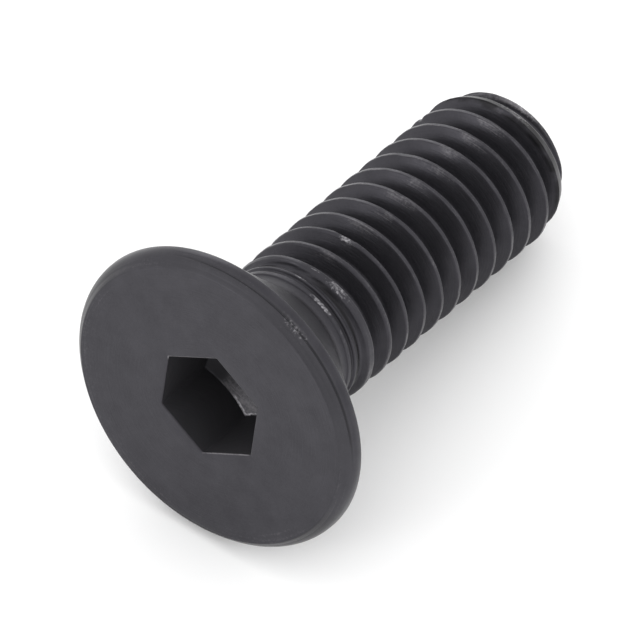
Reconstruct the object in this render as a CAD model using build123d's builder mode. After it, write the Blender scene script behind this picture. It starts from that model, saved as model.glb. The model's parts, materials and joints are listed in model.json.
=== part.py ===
from build123d import *
import os
from math import atan2, cos, degrees, floor, radians, sin, tan

# Driving dimensions, in millimetres and degrees. Heights run along the screw, from the head's face.
screwLength = 12.0  # head face to tip, as a countersunk screw is sized
threadDiameter = 3.92  # over the crests, inside the 6g limits of M4
threadPitch = 0.7
flankAngle = 30.0  # each flank, from square to the axis
crestFlat = 0.0875  # width of the thread's crest
grooveDepth = 0.43
runOutTurns = 2  # turns over which the groove climbs out towards the head
firstWholeTurn = 0.76  # from the thread's foot to where the groove is at its full depth
tipChamfer = 0.6  # 45 degree chamfer at the tip
headDiameter = 7.92
headLand = 0.52  # face to the large end of the cone, with the rounding in it
rimRound = 0.45  # rounding between the head's face and its narrow land
coneAngle = 90.0
neckDiameter = 3.54  # the rolled blank, left plain under the head
neckLength = 0.24  # small end of the cone to where the shank widens
neckFillet = 0.5
threadSwell = 0.2  # length over which the shank widens to the crests
socketAcross = 2.56  # hexagon socket across its flats, for a 2.5 key
socketDepth = 1.8  # to the floor at the middle of each flat
floorAngle = 120.0  # drill point at the foot of the socket
mouthBreak = 0.03  # edge break round the mouth of the socket
cutClearance = 0.05  # how far a cutter stands out of what it cuts

headRadius = headDiameter / 2
crestRadius = threadDiameter / 2
neckRadius = neckDiameter / 2
tipRadius = crestRadius - tipChamfer
coneEnd = headLand + (headRadius - neckRadius) / tan(radians(coneAngle / 2))
neckEnd = coneEnd + neckLength
threadFoot = neckEnd + threadSwell
fullGroove = threadFoot + firstWholeTurn
chamferStart = screwLength - tipChamfer
stockEnd = screwLength + 2 * threadPitch  # the bar is threaded long, then cut to length
flankSlope = tan(radians(flankAngle))
mouthHalf = (threadPitch - crestFlat) / 2
rootHalf = mouthHalf - grooveDepth * flankSlope
floorSlope = tan(radians(floorAngle / 2))
socketCorner = socketAcross / 2 / cos(radians(30))
drillRadius = socketCorner + cutClearance
socketPoint = socketDepth + socketAcross / 2 / floorSlope

# The groove keeps its full depth to beyond the tip, and climbs out of the shank towards the head.
# Both stretches are swept from the section where they meet, so that no web is left between them.
runOut = runOutTurns * threadPitch
climbAngle = atan2(grooveDepth, runOut)
fullPath = Helix(
    threadPitch,
    screwLength + threadPitch - fullGroove,
    crestRadius,
    center=(0, 0, fullGroove),
)
climbPath = Helix(
    threadPitch / cos(climbAngle),
    runOut,
    crestRadius,
    center=(0, 0, fullGroove),
    direction=(0, 0, -1),
    cone_angle=degrees(climbAngle),
).rotate(Axis.Z, 180)  # a downward helix starts half a turn away
acrossGroove = Plane(origin=fullPath @ 0, x_dir=(1, 0, 0), z_dir=fullPath % 0)
with BuildSketch(acrossGroove) as groove:
    with BuildLine():
        Polyline(
            (cutClearance, -mouthHalf - cutClearance * flankSlope),
            (cutClearance, mouthHalf + cutClearance * flankSlope),
            (-grooveDepth, rootHalf),
            (-grooveDepth, -rootHalf),
            close=True,
        )
    make_face()
with BuildPart() as fullThread:
    sweep(groove.sketch, path=fullPath, is_frenet=True)
with BuildPart() as threadRunOut:
    sweep(groove.sketch, path=climbPath, is_frenet=True)

# The socket: a hexagon, a corner of it on top when the screw lies, that ends in a drill point.
with BuildPart() as socket:
    with BuildSketch(Plane.XY.offset(-cutClearance)):
        RegularPolygon(socketAcross / 2, 6, major_radius=False)
    extrude(amount=socketPoint + 2 * cutClearance)
    with BuildSketch(Plane.XZ):
        with BuildLine():
            Polyline(
                (0, -2 * cutClearance),
                (drillRadius, -2 * cutClearance),
                (drillRadius, socketPoint - drillRadius / floorSlope),
                (0, socketPoint),
                close=True,
            )
        make_face()
    revolve(axis=Axis.Z, mode=Mode.INTERSECT)

# The screw stands on its head here: face at the origin, shank upwards, +X the side that is on top
# when it lies.
with BuildPart() as upright:
    with BuildSketch(Plane.XZ) as outline:
        with BuildLine():
            Polyline(
                (0, 0),
                (headRadius, 0),
                (headRadius, headLand),
                (neckRadius, coneEnd),
                (neckRadius, neckEnd),
                (crestRadius, threadFoot),
                (crestRadius, stockEnd),
                (0, stockEnd),
                close=True,
            )
        make_face()
        rimCorner = outline.vertices().sort_by_distance((headRadius, 0))[0]
        fillet(rimCorner, rimRound)
        neckCorner = outline.vertices().sort_by_distance((neckRadius, coneEnd))[0]
        fillet(neckCorner, neckFillet)
    revolve(axis=Axis.Z)
    add(fullThread.part, mode=Mode.SUBTRACT)
    add(threadRunOut.part, mode=Mode.SUBTRACT)
    with BuildSketch(Plane.XZ):
        with BuildLine():
            Polyline(
                (crestRadius + tipChamfer, chamferStart - tipChamfer),
                (crestRadius + tipChamfer, stockEnd + threadPitch),
                (0, stockEnd + threadPitch),
                (0, screwLength),
                (tipRadius, screwLength),
                close=True,
            )
        make_face()
    revolve(axis=Axis.Z, mode=Mode.SUBTRACT)
    add(socket.part, mode=Mode.SUBTRACT)
    headFace = upright.faces().filter_by(GeomType.PLANE).sort_by(Axis.Z)[0]
    chamfer(headFace.inner_wires()[0].edges(), mouthBreak)

# The screw lies on the rim of its head and on the thread: on its last whole crest or on the next,
# which the chamfer has cut, whichever is met first.
lowestCrest = fullGroove + threadPitch
wholeTurns = floor((chamferStart - lowestCrest) / threadPitch)
wholeCrest = lowestCrest + wholeTurns * threadPitch + crestFlat / 2
cutBack = max(wholeCrest + threadPitch - crestFlat - chamferStart, 0) / (1 + flankSlope)
rimDrop = headRadius - crestRadius
restTilt = min(
    atan2(rimDrop, wholeCrest - headLand),
    atan2(rimDrop + cutBack, chamferStart + cutBack - headLand),
)
lowestReach = (headRadius - rimRound) * sin(restTilt)
farthestReach = screwLength * cos(restTilt) + tipRadius * sin(restTilt)
restPlane = Plane(
    origin=(
        (lowestReach - farthestReach) / 2,
        0,
        headLand * sin(restTilt) + headRadius * cos(restTilt),
    ),
    x_dir=(sin(restTilt), 0, cos(restTilt)),
    z_dir=(cos(restTilt), 0, -sin(restTilt)),
)
with BuildPart() as screw:
    add(upright.part.moved(restPlane.location))

os.makedirs("parts", exist_ok=True)
screw.part.label = "screw"
export_step(screw.part, "parts/screw.step")
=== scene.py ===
import json
from math import atan2, ceil, cos, floor, hypot, pi, radians, sin, tan

import bmesh
import bpy
from mathutils import Matrix, Vector, noise


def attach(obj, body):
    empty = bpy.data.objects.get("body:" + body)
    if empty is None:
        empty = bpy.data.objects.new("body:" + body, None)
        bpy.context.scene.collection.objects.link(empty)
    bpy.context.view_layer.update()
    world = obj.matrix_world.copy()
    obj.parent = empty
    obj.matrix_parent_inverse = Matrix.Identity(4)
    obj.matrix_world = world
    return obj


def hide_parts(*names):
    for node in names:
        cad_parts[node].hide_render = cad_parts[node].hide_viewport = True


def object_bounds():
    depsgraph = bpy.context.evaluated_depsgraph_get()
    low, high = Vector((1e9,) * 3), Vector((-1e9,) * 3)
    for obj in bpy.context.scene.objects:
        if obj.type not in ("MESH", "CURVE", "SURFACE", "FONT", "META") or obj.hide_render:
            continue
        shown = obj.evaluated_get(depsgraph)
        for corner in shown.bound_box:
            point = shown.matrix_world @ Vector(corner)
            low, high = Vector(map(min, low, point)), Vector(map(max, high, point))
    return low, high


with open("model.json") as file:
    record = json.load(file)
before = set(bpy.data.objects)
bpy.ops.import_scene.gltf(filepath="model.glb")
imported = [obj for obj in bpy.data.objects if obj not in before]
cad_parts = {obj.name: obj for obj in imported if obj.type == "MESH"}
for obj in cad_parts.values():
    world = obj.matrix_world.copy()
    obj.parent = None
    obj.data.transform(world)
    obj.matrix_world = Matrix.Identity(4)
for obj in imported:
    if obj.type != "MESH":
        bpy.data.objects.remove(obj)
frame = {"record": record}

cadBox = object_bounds()


# The screw's own frame: millimetres, heights from the head's face towards the tip, +X on top.
placing = {
    "seatHeight": 0.0015,  # metres from the head's face to the cone_seat mount
    "unit": 0.001,  # metres to a millimetre
}


def screwPlace():
    mounts = {mount["name"]: mount for mount in frame["record"]["mounts"]}
    axisDir = Vector(mounts["thread"]["axis"]).normalized()
    faceCentre = Vector(mounts["cone_seat"]["pos_m"]) - axisDir * placing["seatHeight"]
    topDir = (Vector(mounts["head_face"]["pos_m"]) - faceCentre).normalized()
    turned = Matrix((topDir, axisDir.cross(topDir), axisDir)).transposed().to_4x4()
    return Matrix.Translation(faceCentre) @ turned


place = screwPlace()
millimetre = Matrix.Scale(placing["unit"], 4)


screw = {  # millimetres and degrees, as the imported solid
    "length": 11.978,
    "crestRadius": 1.96,
    "pitch": 0.7,
    "grooveDepth": 0.43,
    "fullGroove": 3.91,  # where the groove reaches its full depth
    "runOut": 0.95,  # length over which it climbs out towards the head
    "rootHalf": 0.058,  # half the width of the groove's floor
    "flankSlope": tan(radians(30)),
    "crestEase": 0.007,  # rounding where flank and crest meet
    "rootEase": 0.03,
    "unevenCrest": 0.007,  # how much the crests' height wanders
    "unevenMean": 0.4,
    "unevenFine": 0.6,
    "unevenScale": (5, 1.3, 3.1),  # round, along, and how much finer the second layer is
    "unevenFrom": 3.5,
    "pushed": ((0.05, 5.6, 4.4), (0.08, 3.8, 3.35)),  # shift of the thread, fading in
    "tipEase": 0.03,
    "tipEaseRings": ((0.3, 0.35), (0.65, 0.12), (1, 0)),
    "tipFlat": 1.44,
    "tipTaper": (0.385, 11.08),  # the last turn's loss of radius per millimetre, and its start
    "tipBevel": 1.25,  # the steep edge's
    "tipBlend": 0.1,
    "tipRings": (1.3, 0.9, 0.45),  # rings of the end face
    "tipLean": 0.038,  # the last turn stands out to one side
    "tipLeanSide": -45,
    "tipLeanSpan": (11.2, 11.9),
    "headRadius": 3.96,
    "restSlant": 10.85,  # how far the axis dips when the screw lies
    "boxReach": 0.6675,  # level reach of the solid's box from the middle of the face
    "frontSide": 29.2,  # the side facing the camera; wear, painted light and shade are placed from it
    "headLand": 0.52,
    "landEdge": ((-0.008, 0.018), (0, -0.01)),  # outward and along, where the cone ends
    "coneShares": (0.3, 0.6, 0.97),
    "rimRound": 0.45,
    "rimArc": (-50, 50),  # degrees of the rounding, and its steps
    "rimEnd": 0.5,  # rings below this belong to the rim
    "bevel": (  # from the rounding to the face: outward and along
        (0.085, 0.08),
        (0.06, 0.05),
        (0.035, 0.027),
        (0.018, 0.012),
        (0.006, 0.003),
        (-0.01, 0),
    ),
    "faceFlat": 3.69,  # the face is flat out to here
    "faceRings": (3.675, 3.66, 3.6, 3.4, 3.0, 2.5, 2.0, 1.65),
    "rimLine": 0.24,  # height of the fine line where the rounding meets the land
    "rimLineHalf": 0.024,
    "rimLineDepth": 0.022,
    "rimLineSides": (58, 38),  # it fades out between these angles from the front
    "neckStart": 2.92,
    "neckRows": 3.34,  # plain rings up to here, helical rows beyond
    "rowStep": 0.014,
    "neckFillet": 0.5,
    "filletSteps": 7,
    "neckProfile": (  # height and radius: rings left by the rolling, then the swell
        (2.90, 1.772),
        (2.97, 1.780),
        (3.00, 1.815),
        (3.10, 1.822),
        (3.13, 1.782),
        (3.19, 1.780),
        (3.235, 1.842),
        (3.275, 1.846),
        (3.33, 1.800),
        (3.43, 1.800),
        (3.50, 1.925),
        (3.58, 1.952),
        (3.66, 1.960),
    ),
    "neckWobble": ((0.018, 1, 0.6), (0.008, 3, 0)),  # size, waves round, radians turned
    "wobbleSpan": ((2.93, 3.0), (3.7, 3.5)),  # fades in, and out again
    "neckBlend": 0.03,
    "socketInner": 1.28,  # middle of a flat to the axis
    "socketDepth": 1.8,
    "mouthEase": 0.03,
    "mouthHold": (0.012, 0.03),  # rings that hold the ease, on the face and down the wall
    "wallShares": (0.25, 0.5, 0.75, 0.97, 0.99, 1),
    "floorShares": (0.97, 0.94, 0.88, 0.8, 0.7, 0.6, 0.4, 0.2, 0.05),
    "floorSlope": tan(radians(60)),  # the drill point's half angle
    "ringSteps": 204,  # vertices round the screw, a multiple of twelve
    "threadRows": (  # distances of the mesh's rows from the middle of the groove
        0, 0.03, 0.05, 0.068, 0.10, 0.14, 0.18,
        0.22, 0.26, 0.285, 0.298, 0.308, 0.32, 0.35,
    ),
    "nicks": (  # bruises of the crests: crest number, degrees round, half length, depth
        (1, 1, 8, 0.03),
        (9, -58, 4, 0.05),
        (4, 3, 5, 0.02),
        (6, -22, 7, 0.018),
        (7, 60, 4, 0.02),
        (5, 150, 8, 0.025),
        (2, -130, 6, 0.02),
        (8, -160, 9, 0.02),
    ),
}
weldDistance = 0.004  # between rows that two turns share
cutDistance = 0.0001  # from the cutting plane
sameLevel = 0.001  # millimetres within which heights count as one


def softMin(first, second, blend):
    share = max(blend - abs(first - second), 0) / blend
    return min(first, second) - share * share * blend / 4


def softMax(first, second, blend):
    return -softMin(-first, -second, blend)


def fade(value, first, last):  # 0 at first, 1 at last, smooth between
    share = min(max((value - first) / (last - first), 0), 1)
    return share * share * (3 - 2 * share)


def hump(value, middle, half):  # 1 in the middle, 0 from half a width away
    return max(1 - ((value - middle) / half) ** 2, 0)


def fadeRound(angle, first, last):  # the same two, their ends in degrees
    return fade(angle, radians(first), radians(last))


def humpRound(angle, middle, half):
    return hump(angle, radians(middle), radians(half))


def turnFrom(angle, degrees):  # the shorter way round
    return (angle - radians(degrees) + pi) % (2 * pi) - pi


def neckRadius(height):
    points = screw["neckProfile"]
    if height <= points[0][0]:
        return points[0][1]
    for (low, first), (high, last) in zip(points, points[1:]):
        if height <= high:
            return first + (last - first) * fade(height, low, high)
    return points[-1][1]


# The bar before the thread is rolled: ringed neck, swell, crests, blunt tip.
def stockRadius(angle, height):
    wobble = sum(size * sin(waves * angle + turn) for size, waves, turn in screw["neckWobble"])
    fadeIn, fadeOut = screw["wobbleSpan"]
    bar = neckRadius(height + wobble * fade(height, *fadeIn) * fade(height, *fadeOut))
    taper, taperStart = screw["tipTaper"]
    gentle = screw["crestRadius"] - taper * (height - taperStart)
    steep = screw["tipFlat"] + screw["tipBevel"] * (screw["length"] - height)
    lean = screw["tipLean"] * cos(angle - radians(screw["tipLeanSide"]))
    lean *= fade(height, *screw["tipLeanSpan"])
    return softMin(bar, softMin(gentle, steep, screw["tipBlend"]) + lean, screw["neckBlend"])


# How far the rolling pushed the thread towards the tip, near the head.
def pushed(height):
    return sum(shift * fade(height, first, last) for shift, first, last in screw["pushed"])


# Number of the nearest crest, and how far off it is, as a share of a turn.
def crestPlace(angle, height):
    level = (height - pushed(height) - screw["fullGroove"]) / screw["pitch"]
    turns = level - 0.5 - angle / (2 * pi)
    number = floor(turns + 0.5)
    return number, turns - number


# What the crests lack: they wander a little and have nicks.
def crestLoss(angle, height):
    roundScale, alongScale, finer = screw["unevenScale"]
    spot = Vector((cos(angle) * roundScale, sin(angle) * roundScale, height * alongScale))
    wander = noise.noise(spot) + screw["unevenFine"] * noise.noise(spot * finer)
    loss = screw["unevenCrest"] * (screw["unevenMean"] + wander)
    number = crestPlace(angle, height)[0]
    for crest, middle, half, depth in screw["nicks"]:
        if crest == number:
            loss += depth * humpRound(turnFrom(angle, middle), 0, half)
    return loss


def threadRadius(angle, height):
    pitch = screw["pitch"]
    level = height - pushed(height)
    phase = (level - screw["fullGroove"]) / pitch - angle / (2 * pi)
    phase -= floor(phase + 0.5)
    climb = (screw["fullGroove"] - (level - phase * pitch)) / screw["runOut"]
    root = screw["crestRadius"] - screw["grooveDepth"] * (1 - max(climb, 0))
    flank = root + (abs(phase) * pitch - screw["rootHalf"]) / screw["flankSlope"]
    groove = softMax(root, flank, screw["rootEase"])
    stock = stockRadius(angle, height)
    if height > screw["unevenFrom"]:
        stock -= crestLoss(angle, height)
    return softMin(groove, stock, screw["crestEase"])


# A helical band one pitch wide, spun up the screw and cut square at both ends.
def threadTube(bm):
    pitch, near = screw["pitch"], screw["threadRows"]
    rows = list(near) + [pitch - row for row in reversed(near[:-1])]
    lead = ceil((screw["fullGroove"] - screw["neckRows"]) / pitch + 1)
    start = screw["fullGroove"] - lead * pitch
    turns = ceil((screw["length"] - start) / pitch) + 1
    verts = [bm.verts.new((screw["crestRadius"], 0, start + row)) for row in rows]
    edges = [bm.edges.new(pair) for pair in zip(verts, verts[1:])]
    bmesh.ops.spin(
        bm,
        geom=verts + edges,
        cent=(0, 0, 0),
        axis=(0, 0, 1),
        dvec=(0, 0, pitch / screw["ringSteps"]),
        angle=2 * pi,
        steps=screw["ringSteps"],
        use_merge=False,
        use_duplicate=False,
    )
    oneTurn = bm.verts[:] + bm.edges[:] + bm.faces[:]
    for turn in range(1, turns):
        copied = bmesh.ops.duplicate(bm, geom=oneTurn)["geom"]
        moved = [item for item in copied if isinstance(item, bmesh.types.BMVert)]
        bmesh.ops.translate(bm, vec=(0, 0, pitch * turn), verts=moved)
    bmesh.ops.remove_doubles(bm, verts=bm.verts[:], dist=weldDistance)
    for height, side in ((screw["neckRows"], -1), (screw["length"] - screw["tipEase"], 1)):
        bmesh.ops.bisect_plane(
            bm,
            geom=bm.verts[:] + bm.edges[:] + bm.faces[:],
            dist=cutDistance,
            plane_co=(0, 0, height),
            plane_no=(0, 0, side),
            clear_outer=True,
        )
    for vert in bm.verts:
        angle = atan2(vert.co.y, vert.co.x)
        radius = threadRadius(angle, vert.co.z)
        vert.co.x, vert.co.y = radius * cos(angle), radius * sin(angle)
    print("thread rolled", len(bm.faces), "faces")


def endLoop(bm, height):
    return [
        edge
        for edge in bm.edges
        if edge.is_boundary and all(abs(vert.co.z - height) < sameLevel for vert in edge.verts)
    ]


# Extrude a closed loop to where shape(angle) says, as radius and height; gives the new loop.
def addRing(bm, edges, shape):
    made = bmesh.ops.extrude_edge_only(bm, edges=edges)["geom"]
    verts = {item for item in made if isinstance(item, bmesh.types.BMVert)}
    for vert in verts:
        angle = atan2(vert.co.y, vert.co.x)
        radius, height = shape(angle)
        vert.co = (radius * cos(angle), radius * sin(angle), height)
    newEdges = [item for item in made if isinstance(item, bmesh.types.BMEdge)]
    return [edge for edge in newEdges if set(edge.verts) <= verts]


def closeRing(bm, edges, height):
    verts = list({vert for edge in edges for vert in edge.verts})
    bmesh.ops.pointmerge(bm, verts=verts, merge_co=(0, 0, height))


def hexagonRadius(angle, inner):
    fold = (angle - radians(30)) % radians(60)
    return inner / cos(min(fold, radians(60) - fold))


# Points of an arc as radius and height; angles in degrees, 0 outwards and 90 to the tip.
def arc(centre, radius, first, last, steps):
    for step in range(1, steps + 1):
        turn = radians(first + (last - first) * step / steps)
        yield centre[0] + radius * cos(turn), centre[1] + radius * sin(turn)


# From the neck over the cone, the land and the rim to the flat face.
def headSection():
    fillet, rim, head = screw["neckFillet"], screw["rimRound"], screw["headRadius"]
    foot = screw["neckProfile"][0][1]
    filletCentre = (foot + fillet, screw["neckStart"])
    yield from arc(filletCentre, fillet, 180, 225, screw["filletSteps"])
    first = foot + fillet * (1 - cos(radians(45)))
    for share in screw["coneShares"]:
        radius = first + (head - first) * share
        yield radius, screw["headLand"] + head - radius
    for outward, along in screw["landEdge"]:
        yield head + outward, screw["headLand"] + along
    yield from arc((head - rim, rim), rim, 0, *screw["rimArc"])
    for outward, along in screw["bevel"]:
        yield screw["faceFlat"] + outward, along
    for radius in screw["faceRings"]:
        yield radius, 0


# The rim has a fine line in front, and under the head it is rubbed back to the solid's box.
def rimPoint(angle, radius, height):
    settled = radians(screw["restSlant"])
    rubbed = (-radius * cos(angle) * sin(settled) - screw["boxReach"]) / cos(settled)
    line = hump(height, screw["rimLine"], screw["rimLineHalf"])
    line *= fadeRound(abs(turnFrom(angle, screw["frontSide"])), *screw["rimLineSides"])
    return radius - screw["rimLineDepth"] * line, max(height, rubbed)


def buildHead(bm):
    loop = endLoop(bm, screw["neckRows"])
    neckLength = screw["neckRows"] - screw["neckStart"]
    rings = round(neckLength / screw["rowStep"])
    for ring in range(1, rings + 1):
        height = screw["neckRows"] - neckLength * ring / rings
        loop = addRing(bm, loop, lambda angle: (threadRadius(angle, height), height))
    for radius, height in headSection():
        if height < screw["rimEnd"]:
            loop = addRing(bm, loop, lambda angle: rimPoint(angle, radius, height))
        else:
            loop = addRing(bm, loop, lambda angle: (radius, height))
    print("head turned")
    return loop


# Eased mouth, hexagon walls, and a floor drilled to a point.
def buildSocket(bm, loop):
    inner, ease, slope = screw["socketInner"], screw["mouthEase"], screw["floorSlope"]
    onFace, downWall = screw["mouthHold"]
    mouth = [(ease + onFace, 0), *arc((ease, ease), ease, -90, -180, 3), (0, ease + downWall)]
    for outward, deep in mouth:
        loop = addRing(bm, loop, lambda angle: (hexagonRadius(angle, inner + outward), deep))
    point = screw["socketDepth"] + inner / slope

    def wall(angle, share):
        radius = hexagonRadius(angle, inner)
        return radius, ease + (point - radius / slope - ease) * share

    def drilled(angle, share):
        radius = hexagonRadius(angle, inner) * share
        return radius, point - radius / slope

    for shape, shares in ((wall, screw["wallShares"]), (drilled, screw["floorShares"])):
        for share in shares:
            loop = addRing(bm, loop, lambda angle: shape(angle, share))
    closeRing(bm, loop, point)
    print("socket pressed")


def buildTip(bm):
    length, ease = screw["length"], screw["tipEase"]
    loop = endLoop(bm, length - ease)
    edge = {}
    for item in loop:
        for vert in item.verts:
            edge[round(atan2(vert.co.y, vert.co.x), 3)] = hypot(vert.co.x, vert.co.y)
    for inward, down in screw["tipEaseRings"]:
        height = length - ease * down
        loop = addRing(bm, loop, lambda angle: (edge[round(angle, 3)] - ease * inward, height))
    for radius in screw["tipRings"]:
        loop = addRing(bm, loop, lambda angle: (radius, length))
    closeRing(bm, loop, length)
    print("tip closed")


# Wear and painted light and shade: strengths from 0 to 1, lengths in millimetres, places round
# the screw in degrees from its front side. A pair is a hump's middle and half width, or a fade's
# two ends.
marks = {
    # crests: wear, drawn lighter still towards the sides away from the front as a painted
    # highlight
    "crest": {
        "inner": 1.3,  # the thread and the tip's edge lie outside this radius
        "wearAndPaintedLight": 0.27,
        "farPaintedHighlight": 0.2,
        "far": (0.75, 0.35),  # cosine of the place
        "wander": 0.12,
        "scale": (6, 3.7),  # round, and from crest to crest
        "depth": (0.022, 0.008),
    },
    "flank": {  # the side towards the head: painted highlight streaks near the crest, painted shade further down
        "offCrest": 0.02,  # turns
        "span": (3.85, 11.7),
        "ragged": (0.25, 0.1),
        "scale": (3, 5.3, 3),
        "finer": 3,
        "wearAndPaintedLight": 0.47,
        "place": (-25, 18),
        "depth": (0.27, 0.08),
        "paintedShade": 0.2,
        "paintedShadeFrom": (-36, -30),
        "paintedShadeTo": (75, 40),
        "paintedShadeAlong": (11.5, 7.0),
        "paintedShadeTop": (0.0, 0.06),
        "paintedShadeRoot": (0.42, 0.15),
        "cleared": 0.8,  # the share of the painted shade that wear and painted highlight take off
        "clearing": (0.1, 0.4),
    },
    "bruiseGlint": {  # painted highlight on the nick in the first crest
        "crest": 1,
        "offCrest": 0.12,
        "from": 4,
        "paintedGlint": 0.75,
        "place": (-28, 8),
        "depth": (0.12, 0.05),
    },
    # run-out: crest wear fading out, painted shade in the groove, painted glints on the swell and
    # first crest
    "runOut": {
        "end": 3.85,
        "wearAndPaintedLight": 0.9,
        "wearAndPaintedLightAlong": (3.56, 3.64),
        "paintedShade": 0.85,
        "paintedShadeAlong": (3.41, 0.08),
        "paintedShadePlace": (-30, -8),
        "swell": 0.7,
        "swellPlace": (-4, 15),
        "swellAlong": (3.46, 3.53),
        "swellRadius": (1.88, 1.94),
        "top": 0.8,
        "topPlace": (-25, 6),
        "topAlong": (3.60, 0.03),
    },
    # tip: a lighter band, partly wear and partly painted highlight, a painted glint, painted shade
    # over the last crest
    "tip": {
        "start": 11.1,
        "crestEnd": (11.35, 11.1),
        "along": (11.16, 11.28),
        "radius": (1.55, 1.62),
        "rubsAndHighlights": ((1, -24, 22), (0.7, 40, 20)),  # share, middle, half width
        "wearAndPaintedLight": 0.5,
        "rubAndHighlightShare": 0.3,
        "wearAndPaintedLightAlong": (11.40, 11.52),
        "paintedShade": 0.92,
        "paintedShadeMean": 0.8,
        "paintedShadeFine": 0.5,
        "scale": (5, 7, 5),
        "finer": 3,
        "paintedShadeAlong": (11.04, 11.14),
        "paintedShadeRadius": (1.75, 1.82),
        "paintedGlint": 0.66,
        "paintedGlintPlace": (-18, 20),
    },
    # neck: wear on the ring ridges, painted glints on them, painted shade in the groove between
    "neck": {
        "span": (2.94, 3.34),
        "radius": (1.7, 1.95),
        "wearAndPaintedLight": 0.3,
        "rings": ((3.05, 0.07), (3.255, 0.04)),
        "wide": 0.82,
        "widePlace": (-4, 16),
        "wideAlong": (3.05, 0.085),
        "wideGain": 1.6,
        "narrow": 0.8,
        "narrowPlace": (-31, 9),
        "narrowAlong": (3.255, 0.03),
        "paintedShade": 0.6,
        "paintedShadeAlong": (3.16, 0.035),
        "paintedShadePlace": (-30, -8),
    },
    "cone": {  # a painted highlight, lighter towards the neck on one side
        "span": (1.5, 2.95),
        "inner": 1.6,
        "paintedSheen": 0.9,
        "place": (-52, 34),
        "along": (1.6, 2.3),
    },
    # rim: wear patches with painted glints, the bevel drawn lighter with painted sheen in front,
    # painted shade along the line and far side
    "rim": {
        "inner": 3.6,
        "end": 0.5,
        "patches": ((1, -1, 9), (0.5, -22, 10)),  # share, middle, half width
        "facing": (0.3, 0.75),  # cosine of the place
        "edge": (3.67, 3.70),
        "wearAndPaintedLight": 0.2,
        "patchWorn": 0.2,
        "wearAndPaintedLightAlong": (0.30, 0.07),
        "bevelLighter": 0.27,
        "facingLighter": -0.12,
        "bevelAlong": (0.22, 0.17),
        "paintedSheen": 0.42,
        "paintedSheenAlong": (0.36, 0.24),
        "paintedGlint": 0.58,
        "paintedGlintAlong": (0.23, 0.13),
        "linePaintedShade": 0.45,
        "lineHalf": 0.035,
        "farPaintedShade": 0.4,
        "far": (0.3, 0.0),
        "farAlong": (0.4, 0.25),
    },
    # face: drawn lighter towards the rim on the side away from the front
    "face": {
        "inner": 3.1,
        "wearAndPaintedLight": 0.3,
        "radius": (3.1, 3.6),
        "far": (0.4, -0.3),
    },
    # socket: hollow walls; on the floor painted light on one half, painted shade on the other, a
    # painted highlight at its foot
    "socket": {
        "outer": 1.6,
        "end": 3,
        "hollowAndSheen": (0.0, 0.06),
        "floorHollow": 0.5,
        "wearAndPaintedLight": 0.52,
        "paintedLightAcross": (-0.5, -0.1),
        "paintedShade": 0.25,
        "paintedShadeAcross": (-0.1, -0.4),
        "paintedGlint": 0.8,
        "paintedGlintAcross": (-0.05, 0.25),
        "footWidth": 0.03,
    },
    # mouth edge: wear, with painted highlight on two opposite flats and at one corner
    "mouth": {
        "outer": 1.56,
        "onEdge": 0.016,
        "wearAndPaintedLight": 0.1,
        "flatWearAndHighlight": 0.6,
        "flats": (0.3, 0.7),
        "cornerWearAndHighlight": 0.5,
        "corner": (-60, 5),
    },
    "roundScale": 1.5,  # of the rolled direction, which draws the streaks out
    "depthScale": 17.0,
    "climbScale": 6.0,
    "acrossScale": 8.0,
}


def scaled(values, scales):
    return Vector([value * scale for value, scale in zip(values, scales)])


# painted highlight streaks near the crest and painted shade further down the flank
def flankHighlightAndShade(state, seen, radius, height, top, number):
    flank = marks["flank"]
    spot = scaled((seen, number, radius), flank["scale"])
    coarse, fine = flank["ragged"]
    ragged = seen + coarse * noise.noise(spot) + fine * noise.noise(spot * flank["finer"])
    depth = top - radius
    wearAndPaintedLight = flank["wearAndPaintedLight"] * humpRound(ragged, *flank["place"]) * fade(depth, *flank["depth"])
    state["wearAndPaintedLight"] = max(state["wearAndPaintedLight"], wearAndPaintedLight)
    paintedShade = flank["paintedShade"] * fadeRound(ragged, *flank["paintedShadeFrom"])
    paintedShade *= fadeRound(ragged, *flank["paintedShadeTo"]) * fade(height, *flank["paintedShadeAlong"])
    paintedShade *= fade(depth, *flank["paintedShadeTop"]) * fade(depth, *flank["paintedShadeRoot"])
    paintedShade *= 1 - flank["cleared"] * fade(state["wearAndPaintedLight"], *flank["clearing"])
    state["paintedShade"] = paintedShade


# crest wear fading towards the head, painted shade in the groove, painted glints on the swell and
# crest
def runOutShadeAndGlints(state, seen, radius, height):
    part = marks["runOut"]
    state["wearAndPaintedLight"] *= fade(height, *part["wearAndPaintedLightAlong"]) * part["wearAndPaintedLight"]
    state["paintedShade"] = part["paintedShade"] * hump(height, *part["paintedShadeAlong"])
    state["paintedShade"] *= fadeRound(seen, *part["paintedShadePlace"])
    swell = part["swell"] * humpRound(seen, *part["swellPlace"])
    swell *= fade(height, *part["swellAlong"]) * fade(radius, *part["swellRadius"])
    top = part["top"] * humpRound(seen, *part["topPlace"]) * hump(height, *part["topAlong"])
    state["paintedGlint"] = swell + top


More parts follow.
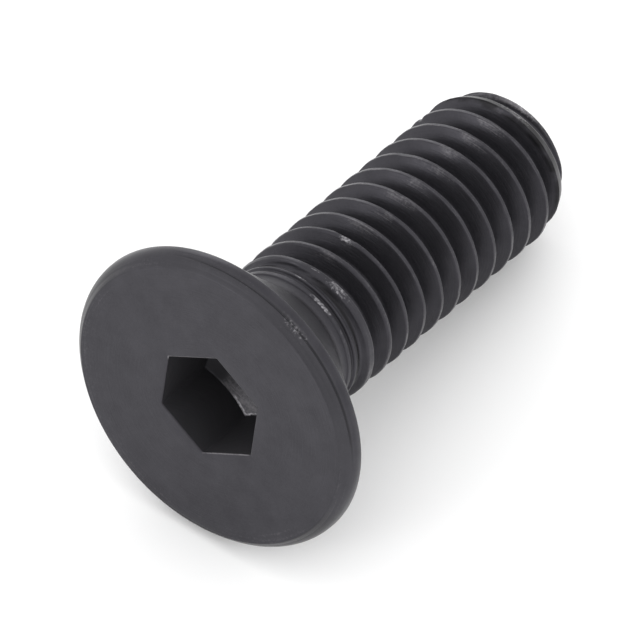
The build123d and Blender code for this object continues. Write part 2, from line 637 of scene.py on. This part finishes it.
# lighter band that is partly wear and partly painted highlight, a painted glint, and painted shade
# on the last crest
def tipWearAndPaintedLight(state, seen, radius, height):
    part = marks["tip"]
    band = fade(height, *part["along"]) * fade(radius, *part["radius"])
    rubbed = max(share * humpRound(seen, middle, half) for share, middle, half in part["rubsAndHighlights"])
    wearAndPaintedLight = (part["wearAndPaintedLight"] + part["rubAndHighlightShare"] * rubbed) * band * fade(height, *part["wearAndPaintedLightAlong"])
    state["wearAndPaintedLight"] = max(state["wearAndPaintedLight"] * fade(height, *part["crestEnd"]), wearAndPaintedLight)
    spot = scaled((seen, height, radius), part["scale"])
    patchy = noise.noise(spot) + part["paintedShadeFine"] * noise.noise(spot * part["finer"])
    patchy = min(max(part["paintedShadeMean"] + patchy, 0), 1)
    state["paintedShade"] = part["paintedShade"] * patchy
    state["paintedShade"] *= fade(height, *part["paintedShadeAlong"]) * fade(radius, *part["paintedShadeRadius"])
    state["paintedGlint"] = part["paintedGlint"] * humpRound(seen, *part["paintedGlintPlace"]) * band


# wear, painted highlights, glints and shade on the thread
def threadWearAndPaintedLight(state, angle, seen, radius, height):
    crest, flank, bruiseGlint = marks["crest"], marks["flank"], marks["bruiseGlint"]
    top = stockRadius(angle, height)
    number, off = crestPlace(angle, height)
    roundScale, numberScale = crest["scale"]
    spot = scaled((cos(angle), sin(angle), number), (roundScale, roundScale, numberScale))
    wearAndPaintedLight = crest["wearAndPaintedLight"] + crest["farPaintedHighlight"] * fade(cos(seen), *crest["far"])
    wearAndPaintedLight += crest["wander"] * noise.noise(spot)
    state["wearAndPaintedLight"] = wearAndPaintedLight * fade(top - radius, *crest["depth"])
    if off < flank["offCrest"] and flank["span"][0] < height < flank["span"][1]:
        flankHighlightAndShade(state, seen, radius, height, top, number)
    bruised = number == bruiseGlint["crest"] and abs(off) < bruiseGlint["offCrest"]
    if bruised and height > bruiseGlint["from"]:
        state["paintedGlint"] = bruiseGlint["paintedGlint"] * humpRound(seen, *bruiseGlint["place"])
        state["paintedGlint"] *= fade(top - radius, *bruiseGlint["depth"])
    if height < marks["runOut"]["end"]:
        runOutShadeAndGlints(state, seen, radius, height)
    if height > marks["tip"]["start"]:
        tipWearAndPaintedLight(state, seen, radius, height)


# wear on the rings, painted glints on them, painted shade in the groove between
def neckWearAndPaintedLight(state, seen, height):
    part = marks["neck"]
    state["wearAndPaintedLight"] = part["wearAndPaintedLight"] * max(hump(height, *ring) for ring in part["rings"])
    wide = part["wide"] * humpRound(seen, *part["widePlace"])
    wide *= min(part["wideGain"] * hump(height, *part["wideAlong"]), 1)
    narrow = part["narrow"] * humpRound(seen, *part["narrowPlace"])
    state["paintedGlint"] = wide + narrow * hump(height, *part["narrowAlong"])
    state["paintedShade"] = part["paintedShade"] * hump(height, *part["paintedShadeAlong"])
    state["paintedShade"] *= fadeRound(seen, *part["paintedShadePlace"])


# wear patches with painted glints, a lighter bevel with painted sheen in front, painted shade on
# the line and the far side
def rimWearAndPaintedLight(state, seen, radius, height):
    part = marks["rim"]
    patch = max(share * humpRound(seen, middle, half) for share, middle, half in part["patches"])
    facing = fade(cos(seen), *part["facing"])
    edge = fade(radius, *part["edge"])
    wearAndPaintedLight = (part["wearAndPaintedLight"] + part["patchWorn"] * patch) * hump(height, *part["wearAndPaintedLightAlong"])
    bevel = (part["bevelLighter"] + part["facingLighter"] * facing) * edge
    state["wearAndPaintedLight"] = max(wearAndPaintedLight, bevel * fade(height, *part["bevelAlong"]))
    state["hollowAndSheen"] = part["paintedSheen"] * facing * edge * fade(height, *part["paintedSheenAlong"])
    state["paintedGlint"] = part["paintedGlint"] * patch * hump(height, *part["paintedGlintAlong"])
    line = part["linePaintedShade"] * hump(height, screw["rimLine"], part["lineHalf"])
    far = part["farPaintedShade"] * edge * fade(cos(seen), *part["far"]) * fade(height, *part["farAlong"])
    state["paintedShade"] = line * fadeRound(abs(seen), *screw["rimLineSides"]) + far


# hollow walls; the floor has painted light on one half, painted shade on the other, a painted
# highlight at its foot
def socketHollowAndPaintedLight(state, angle, seen, radius, height):
    part = marks["socket"]
    state["hollowAndSheen"] = fade(height, *part["hollowAndSheen"])
    wall = hexagonRadius(angle, screw["socketInner"])
    foot = screw["socketDepth"] + (screw["socketInner"] - wall) / screw["floorSlope"]
    if height > foot - sameLevel:
        across = radius * sin(seen)
        state["hollowAndSheen"] = part["floorHollow"]
        state["wearAndPaintedLight"] = part["wearAndPaintedLight"] * fade(across, *part["paintedLightAcross"])
        state["paintedShade"] = part["paintedShade"] * fade(across, *part["paintedShadeAcross"])
        if height < foot + part["footWidth"]:
            state["paintedGlint"] = part["paintedGlint"] * fade(across, *part["paintedGlintAcross"])


# wear along the mouth edge, with painted highlight on two opposite flats and one corner
def mouthWearAndHighlight(state, angle, radius):
    part = marks["mouth"]
    middle = hexagonRadius(angle, screw["socketInner"] + screw["mouthEase"] / 2)
    flat = fade(cos(2 * (angle + radians(30))), *part["flats"])
    corner = humpRound(angle, *part["corner"])
    wearAndPaintedLight = part["wearAndPaintedLight"] + part["flatWearAndHighlight"] * flat + part["cornerWearAndHighlight"] * corner
    state["wearAndPaintedLight"] = wearAndPaintedLight * (abs(radius - middle) < part["onEdge"])


# Per vertex: how far the black is worn or painted lighter as a highlight, where it is hollow or
# has a painted sheen, where glints and shade are painted, and the rolled direction.
def surfaceState(vert):
    x, y, height = vert.co
    radius, angle = hypot(x, y), atan2(y, x)
    seen = angle - radians(screw["frontSide"])
    state = {"wearAndPaintedLight": 0.0, "hollowAndSheen": 0.0, "paintedGlint": 0.0, "paintedShade": 0.0}
    neck, cone, face = marks["neck"], marks["cone"], marks["face"]
    onThread = radius > marks["crest"]["inner"]
    if onThread and height > screw["neckRows"] - sameLevel:
        threadWearAndPaintedLight(state, angle, seen, radius, height)
    ringed = neck["radius"][0] < radius < neck["radius"][1]
    if ringed and neck["span"][0] < height < neck["span"][1]:
        neckWearAndPaintedLight(state, seen, height)
    # painted highlight on the cone towards the neck
    if cone["span"][0] < height < cone["span"][1] and radius > cone["inner"]:
        paintedSheen = cone["paintedSheen"] * humpRound(seen, *cone["place"])
        state["hollowAndSheen"] = paintedSheen * fade(height, *cone["along"])
    if radius > marks["rim"]["inner"] and height < marks["rim"]["end"]:
        rimWearAndPaintedLight(state, seen, radius, height)
    # the face is drawn lighter towards the rim on the side away from the front
    if height < sameLevel and radius > face["inner"]:
        wearAndPaintedLight = face["wearAndPaintedLight"] * fade(radius, *face["radius"]) * fade(cos(seen), *face["far"])
        state["wearAndPaintedLight"] = max(state["wearAndPaintedLight"], wearAndPaintedLight)
    if radius < marks["socket"]["outer"] and height < marks["socket"]["end"]:
        socketHollowAndPaintedLight(state, angle, seen, radius, height)
    half = screw["mouthEase"] / 2
    if abs(height - half) < half + cutDistance and radius < marks["mouth"]["outer"]:
        mouthWearAndHighlight(state, angle, radius)
    along = height * marks["climbScale"]
    if onThread and height > screw["neckRows"]:
        along = height + crestPlace(angle, height)[1] * marks["acrossScale"]
    state["rolled"] = (
        cos(angle) * marks["roundScale"],
        sin(angle) * marks["roundScale"],
        radius * marks["depthScale"] + along,
    )
    return state


def buildScrew(material):
    bm = bmesh.new()
    threadTube(bm)
    buildSocket(bm, buildHead(bm))
    buildTip(bm)
    bmesh.ops.recalc_face_normals(bm, faces=bm.faces[:])
    for face in bm.faces:
        face.smooth = True
    bm.verts.index_update()
    # the states hold wear together with painted highlights, glints, sheen and shade
    states = [surfaceState(vert) for vert in bm.verts]
    print("wear drawn on", len(states), "vertices")
    bmesh.ops.transform(bm, matrix=place @ millimetre, verts=bm.verts[:])
    mesh = bpy.data.meshes.new("countersunkScrew")
    bm.to_mesh(mesh)
    bm.free()
    for name in ("wearAndPaintedLight", "hollowAndSheen", "paintedGlint", "paintedShade"):
        layer = mesh.attributes.new(name, "FLOAT", "POINT")
        layer.data.foreach_set("value", [state[name] for state in states])
    layer = mesh.attributes.new("rolled", "FLOAT_VECTOR", "POINT")
    layer.data.foreach_set("vector", [part for state in states for part in state["rolled"]])
    piece = bpy.data.objects.new("countersunkScrew", mesh)
    bpy.context.collection.objects.link(piece)
    mesh.materials.append(material)
    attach(piece, "root")
    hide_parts("screw")
    mesh.calc_loop_triangles()
    print("screw built", len(mesh.loop_triangles), "triangles")


oxide = {
    "darkColour": (0.0252, 0.0241, 0.0288, 1),
    "lightColour": (0.0616, 0.0596, 0.0683, 1),
    # lighter metal, for wear and for painted highlights
    "wearAndPaintedLightColour": (0.19, 0.183, 0.193, 1),
    # painted glints
    "paintedGlintColour": (0.40, 0.39, 0.41, 1),
    # lighter tone for the socket and for painted sheen
    "hollowAndSheenColour": (0.0655, 0.064, 0.0705, 1),
    # painted shade
    "paintedShadeColour": (0.012, 0.0115, 0.0125, 1),
    "metallic": 0.8,
    "roughness": 0.36,
    "roughnessSpread": (-0.1, 0.12),  # over the streaks
    "hollowAndSheenDull": 0.25,  # roughness added where the surface is hollow or has a painted sheen
    "grainPerMetre": 16000,
    "mottlePerMetre": 1500,
    "mottleShare": 0.7,  # of the mottle and the grain in the colour
    "grainShare": 0.3,
    "streakFineness": 1.6,
    "streakShare": 1.6,  # of the streaks against the grain where wear and painted highlights break up
    "breakupShift": -0.3,
    "breakupShare": 0.5,
    "wearAndPaintedLightSoftness": 0.7,
    "paintedGlintShare": 0.6,
    "paintedGlintSoftness": 0.5,
    "grainHeight": 0.0000012,  # metres
    "streakHeight": 0.0000045,
}


def addSocket(tree, name, kind, way, value=None):
    socket = tree.interface.new_socket(name=name, in_out=way, socket_type=kind)
    if value is not None:
        socket.default_value = value


# Fine blasted grain and a slow mottle of the black layer.
def surfaceGrain():
    tree = bpy.data.node_groups.new("surfaceGrain", "ShaderNodeTree")
    addSocket(tree, "Place", "NodeSocketVector", "INPUT")
    addSocket(tree, "Grain Scale", "NodeSocketFloat", "INPUT", 16000.0)
    addSocket(tree, "Mottle Scale", "NodeSocketFloat", "INPUT", 1500.0)
    addSocket(tree, "Grain", "NodeSocketFloat", "OUTPUT")
    addSocket(tree, "Mottle", "NodeSocketFloat", "OUTPUT")
    nodes, links = tree.nodes, tree.links
    given, out = nodes.new("NodeGroupInput"), nodes.new("NodeGroupOutput")
    for scale, target, detail in (("Grain Scale", "Grain", 3.0), ("Mottle Scale", "Mottle", 4.0)):
        cloud = nodes.new("ShaderNodeTexNoise")
        cloud.inputs["Detail"].default_value = detail
        cloud.inputs["Roughness"].default_value = 0.6
        links.new(given.outputs["Place"], cloud.inputs["Vector"])
        links.new(given.outputs[scale], cloud.inputs["Scale"])
        links.new(cloud.outputs["Fac"], out.inputs[target])
    return tree


# Marks of the rolling dies: long along the thread, fine across it.
def rollingStreaks():
    tree = bpy.data.node_groups.new("rollingStreaks", "ShaderNodeTree")
    addSocket(tree, "Rolled", "NodeSocketVector", "INPUT")
    addSocket(tree, "Fineness", "NodeSocketFloat", "INPUT", 1.0)
    addSocket(tree, "Streaks", "NodeSocketFloat", "OUTPUT")
    nodes, links = tree.nodes, tree.links
    given, out = nodes.new("NodeGroupInput"), nodes.new("NodeGroupOutput")
    cloud = nodes.new("ShaderNodeTexNoise")
    cloud.inputs["Detail"].default_value = 4.0
    cloud.inputs["Roughness"].default_value = 0.65
    cloud.inputs["Distortion"].default_value = 0.4
    links.new(given.outputs["Rolled"], cloud.inputs["Vector"])
    links.new(given.outputs["Fineness"], cloud.inputs["Scale"])
    links.new(cloud.outputs["Fac"], out.inputs["Streaks"])
    return tree


# Where an edge is rubbed bright or a highlight is painted: the drawn amount broken up by the
# grain.
def wearAndHighlightMask():
    lightenStart = 0.75  # amount and breakup together from which the lighter colour shows
    leastAmount = 0.02
    tree = bpy.data.node_groups.new("wearAndHighlightMask", "ShaderNodeTree")
    addSocket(tree, "Amount", "NodeSocketFloat", "INPUT")
    addSocket(tree, "Breakup", "NodeSocketFloat", "INPUT")
    addSocket(tree, "Softness", "NodeSocketFloat", "INPUT", 0.5)
    addSocket(tree, "Mask", "NodeSocketFloat", "OUTPUT")
    nodes, links = tree.nodes, tree.links
    given, out = nodes.new("NodeGroupInput"), nodes.new("NodeGroupOutput")

    def sums(operation, first, last):
        node = nodes.new("ShaderNodeMath")
        node.operation = operation
        links.new(first, node.inputs[0])
        if isinstance(last, float):
            node.inputs[1].default_value = last
        else:
            links.new(last, node.inputs[1])
        return node.outputs[0]

    ramp = nodes.new("ShaderNodeMapRange")
    ramp.interpolation_type = "SMOOTHSTEP"
    ramp.inputs["From Min"].default_value = lightenStart
    links.new(sums("ADD", given.outputs["Softness"], lightenStart), ramp.inputs["From Max"])
    total = sums("ADD", given.outputs["Amount"], given.outputs["Breakup"])
    links.new(total, ramp.inputs["Value"])
    drawn = sums("GREATER_THAN", given.outputs["Amount"], leastAmount)
    links.new(sums("MULTIPLY", ramp.outputs["Result"], drawn), out.inputs["Mask"])
    return tree


def blackOxide():
    material = bpy.data.materials.new("blackOxide")
    material.use_nodes = True
    nodes, links = material.node_tree.nodes, material.node_tree.links
    shader = nodes["Principled BSDF"]
    shader.inputs["Metallic"].default_value = oxide["metallic"]

    def group(tree):
        node = nodes.new("ShaderNodeGroup")
        node.node_tree = tree
        return node

    def attribute(name, output="Fac"):
        node = nodes.new("ShaderNodeAttribute")
        node.attribute_name = name
        return node.outputs[output]

    def mixed(factor, first, last):
        node = nodes.new("ShaderNodeMix")
        node.data_type = "RGBA"
        links.new(factor, node.inputs["Factor"])
        for socket, colour in ((node.inputs["A"], first), (node.inputs["B"], last)):
            if isinstance(colour, tuple):
                socket.default_value = colour
            else:
                links.new(colour, socket)
        return node.outputs["Result"]

    def sums(operation, first, last):
        node = nodes.new("ShaderNodeMath")
        node.operation = operation
        for socket, value in ((node.inputs[0], first), (node.inputs[1], last)):
            if isinstance(value, float):
                socket.default_value = value
            else:
                links.new(value, socket)
        return node.outputs[0]

    def bump(height, distance):
        node = nodes.new("ShaderNodeBump")
        node.inputs["Distance"].default_value = distance
        links.new(height, node.inputs["Height"])
        return node

    grainNode = group(surfaceGrain())
    grainNode.inputs["Grain Scale"].default_value = oxide["grainPerMetre"]
    grainNode.inputs["Mottle Scale"].default_value = oxide["mottlePerMetre"]
    links.new(nodes.new("ShaderNodeTexCoord").outputs["Object"], grainNode.inputs["Place"])
    grain, mottle = grainNode.outputs["Grain"], grainNode.outputs["Mottle"]
    streakNode = group(rollingStreaks())
    streakNode.inputs["Fineness"].default_value = oxide["streakFineness"]
    links.new(attribute("rolled", "Vector"), streakNode.inputs["Rolled"])
    streaks = streakNode.outputs["Streaks"]

    wearAndHighlightTree = wearAndHighlightMask()
    wearAndPaintedLight = group(wearAndHighlightTree)
    wearAndPaintedLight.inputs["Softness"].default_value = oxide["wearAndPaintedLightSoftness"]
    links.new(attribute("wearAndPaintedLight"), wearAndPaintedLight.inputs["Amount"])
    rubbed = sums("ADD", sums("MULTIPLY", streaks, oxide["streakShare"]), grain)
    rubbed = sums("MULTIPLY", sums("ADD", rubbed, oxide["breakupShift"]), oxide["breakupShare"])
    links.new(rubbed, wearAndPaintedLight.inputs["Breakup"])
    # mask of the painted glints
    paintedGlint = group(wearAndHighlightTree)
    paintedGlint.inputs["Softness"].default_value = oxide["paintedGlintSoftness"]
    paintedGlintAmount = sums("MULTIPLY", attribute("paintedGlint"), oxide["paintedGlintShare"])
    links.new(paintedGlintAmount, paintedGlint.inputs["Amount"])
    links.new(grain, paintedGlint.inputs["Breakup"])

    grainPart = sums("MULTIPLY", grain, oxide["grainShare"])
    cloudy = sums("ADD", sums("MULTIPLY", mottle, oxide["mottleShare"]), grainPart)
    layer = mixed(cloudy, oxide["darkColour"], oxide["lightColour"])
    # over the oxide: hollow tone and painted sheen, wear and painted highlight, painted shade,
    # painted glints
    layer = mixed(attribute("hollowAndSheen"), layer, oxide["hollowAndSheenColour"])
    layer = mixed(wearAndPaintedLight.outputs["Mask"], layer, oxide["wearAndPaintedLightColour"])
    layer = mixed(attribute("paintedShade"), layer, oxide["paintedShadeColour"])
    layer = mixed(paintedGlint.outputs["Mask"], layer, oxide["paintedGlintColour"])
    links.new(layer, shader.inputs["Base Color"])

    rough = nodes.new("ShaderNodeMapRange")
    for end, spread in zip(("To Min", "To Max"), oxide["roughnessSpread"]):
        rough.inputs[end].default_value = oxide["roughness"] + spread
    links.new(streaks, rough.inputs["Value"])
    dulled = sums("MULTIPLY", attribute("hollowAndSheen"), oxide["hollowAndSheenDull"])
    links.new(sums("ADD", rough.outputs["Result"], dulled), shader.inputs["Roughness"])

    streakBump = bump(streaks, oxide["streakHeight"])
    grainBump = bump(grain, oxide["grainHeight"])
    links.new(streakBump.outputs["Normal"], grainBump.inputs["Normal"])
    links.new(grainBump.outputs["Normal"], shader.inputs["Normal"])
    return material


cameraSetup = {
    "azimuth": -53.328,
    "elevation": 51.154,
    "distance": 0.7,
    "pixelsPerMetre": 43030,
    "frameWidth": 640,  # pixels of the square picture
    "sensorWidth": 36.0,
    "clip": (0.01, 10),
    "aimAlong": 0.0042188,  # point in the middle of the picture: along the axis from the face
    "aimAcross": 0.0001347,  # and square to it, to the lower right
    "axisSlant": 40.3,  # of the axis in the picture, above level
}


def cameraAxes():
    azimuth, elevation = radians(cameraSetup["azimuth"]), radians(cameraSetup["elevation"])
    back = Vector((sin(azimuth) * cos(elevation), -cos(azimuth) * cos(elevation), sin(elevation)))
    right = Vector((cos(azimuth), sin(azimuth), 0))
    return right, back.cross(right), back


def fromCamera(direction):  # right, up, towards
    right, up, back = cameraAxes()
    return right * direction[0] + up * direction[1] + back * direction[2]


def aimPoint():
    right, up = cameraAxes()[:2]
    slant = radians(cameraSetup["axisSlant"])
    across = right * sin(slant) - up * cos(slant)
    axisDir = place.to_3x3() @ Vector((0, 0, 1))
    shift = axisDir * cameraSetup["aimAlong"] + across * cameraSetup["aimAcross"]
    return place.translation + shift


stage = {
    "size": 1.2,  # metres
    "floorColour": (0.94, 0.94, 0.94, 1),
    "backdrop": 1.12,  # seen by the camera and in reflections
    "ambient": 1.35,  # lights the floor and the dull surfaces
    "roomLevel": 0.1,  # an open, unlit side of the tent, seen only in reflections
    "roomSide": (-0.42, -0.58, 0.70),
    "roomEdge": (0.83, 0.97),  # cosines between which it begins
}


def buildFloor():
    mesh = bpy.data.meshes.new("floor")
    bm = bmesh.new()
    bmesh.ops.create_grid(bm, x_segments=1, y_segments=1, size=stage["size"] / 2)
    bmesh.ops.translate(bm, vec=(0, 0, cadBox[0].z), verts=bm.verts[:])
    bm.to_mesh(mesh)
    bm.free()
    floorPlane = bpy.data.objects.new("floor", mesh)
    bpy.context.collection.objects.link(floorPlane)
    paper = bpy.data.materials.new("paper")
    paper.use_nodes = True
    shader = paper.node_tree.nodes["Principled BSDF"]
    shader.inputs["Base Color"].default_value = stage["floorColour"]
    shader.inputs["Roughness"].default_value = 1
    shader.inputs["Specular IOR Level"].default_value = 0
    mesh.materials.append(paper)
    print("floor laid")


def buildTent():
    world = bpy.data.worlds.new("lightTent")
    bpy.context.scene.world = world
    world.use_nodes = True
    nodes, links = world.node_tree.nodes, world.node_tree.links

    def ranged(value, low, high, fromMin=0.0, fromMax=1.0):
        node = nodes.new("ShaderNodeMapRange")
        node.interpolation_type = "SMOOTHSTEP"
        node.inputs["From Min"].default_value = fromMin
        node.inputs["From Max"].default_value = fromMax
        for name, given in (("Value", value), ("To Min", low), ("To Max", high)):
            if isinstance(given, float):
                node.inputs[name].default_value = given
            else:
                links.new(given, node.inputs[name])
        return node.outputs["Result"]

    path = nodes.new("ShaderNodeLightPath")
    facing = nodes.new("ShaderNodeVectorMath")
    facing.operation = "DOT_PRODUCT"
    links.new(nodes.new("ShaderNodeTexCoord").outputs["Generated"], facing.inputs[0])
    facing.inputs[1].default_value = fromCamera(stage["roomSide"]).normalized()
    backdrop = stage["backdrop"]
    mirrored = ranged(facing.outputs["Value"], backdrop, stage["roomLevel"], *stage["roomEdge"])
    level = ranged(path.outputs["Is Glossy Ray"], stage["ambient"], mirrored)
    level = ranged(path.outputs["Is Camera Ray"], level, backdrop)
    links.new(level, nodes["Background"].inputs["Strength"])
    nodes["Background"].inputs["Color"].default_value = (1, 1, 1, 1)
    print("tent set")


def buildCamera():
    right, up, back = cameraAxes()
    width, sensor = cameraSetup["frameWidth"], cameraSetup["sensorWidth"]
    data = bpy.data.cameras.new("camera")
    data.sensor_width = sensor
    data.lens = cameraSetup["pixelsPerMetre"] * cameraSetup["distance"] / width * sensor
    data.clip_start, data.clip_end = cameraSetup["clip"]
    camera = bpy.data.objects.new("camera", data)
    turned = Matrix((right, up, back)).transposed().to_4x4()
    camera.matrix_world = Matrix.Translation(aimPoint() + back * cameraSetup["distance"]) @ turned
    bpy.context.collection.objects.link(camera)
    bpy.context.scene.camera = camera
    print("camera set")


lamps = {  # directions are right, up and towards the camera; distance and size in metres
    "leftSoftbox": {"towards": (-0.76, -0.12, 0.62), "distance": 0.4, "size": 0.16, "power": 0.24},
    "topSoftbox": {"towards": (-0.05, 0.93, -0.36), "distance": 0.4, "size": 0.20, "power": 0.17},
}


def buildLamps():
    for name, lamp in lamps.items():
        light = bpy.data.lights.new(name, "AREA")
        light.shape = "DISK"
        light.size = lamp["size"]
        light.energy = lamp["power"]
        shine = bpy.data.objects.new(name, light)
        toLamp = fromCamera(lamp["towards"]).normalized() * lamp["distance"]
        aimed = toLamp.to_track_quat("Z", "Y").to_matrix().to_4x4()
        shine.matrix_world = Matrix.Translation(aimPoint() + toLamp) @ aimed
        bpy.context.collection.objects.link(shine)
    print("lamps set")


bpy.context.scene.view_settings.view_transform = "Standard"
buildScrew(blackOxide())
buildFloor()
buildTent()
buildCamera()
buildLamps()
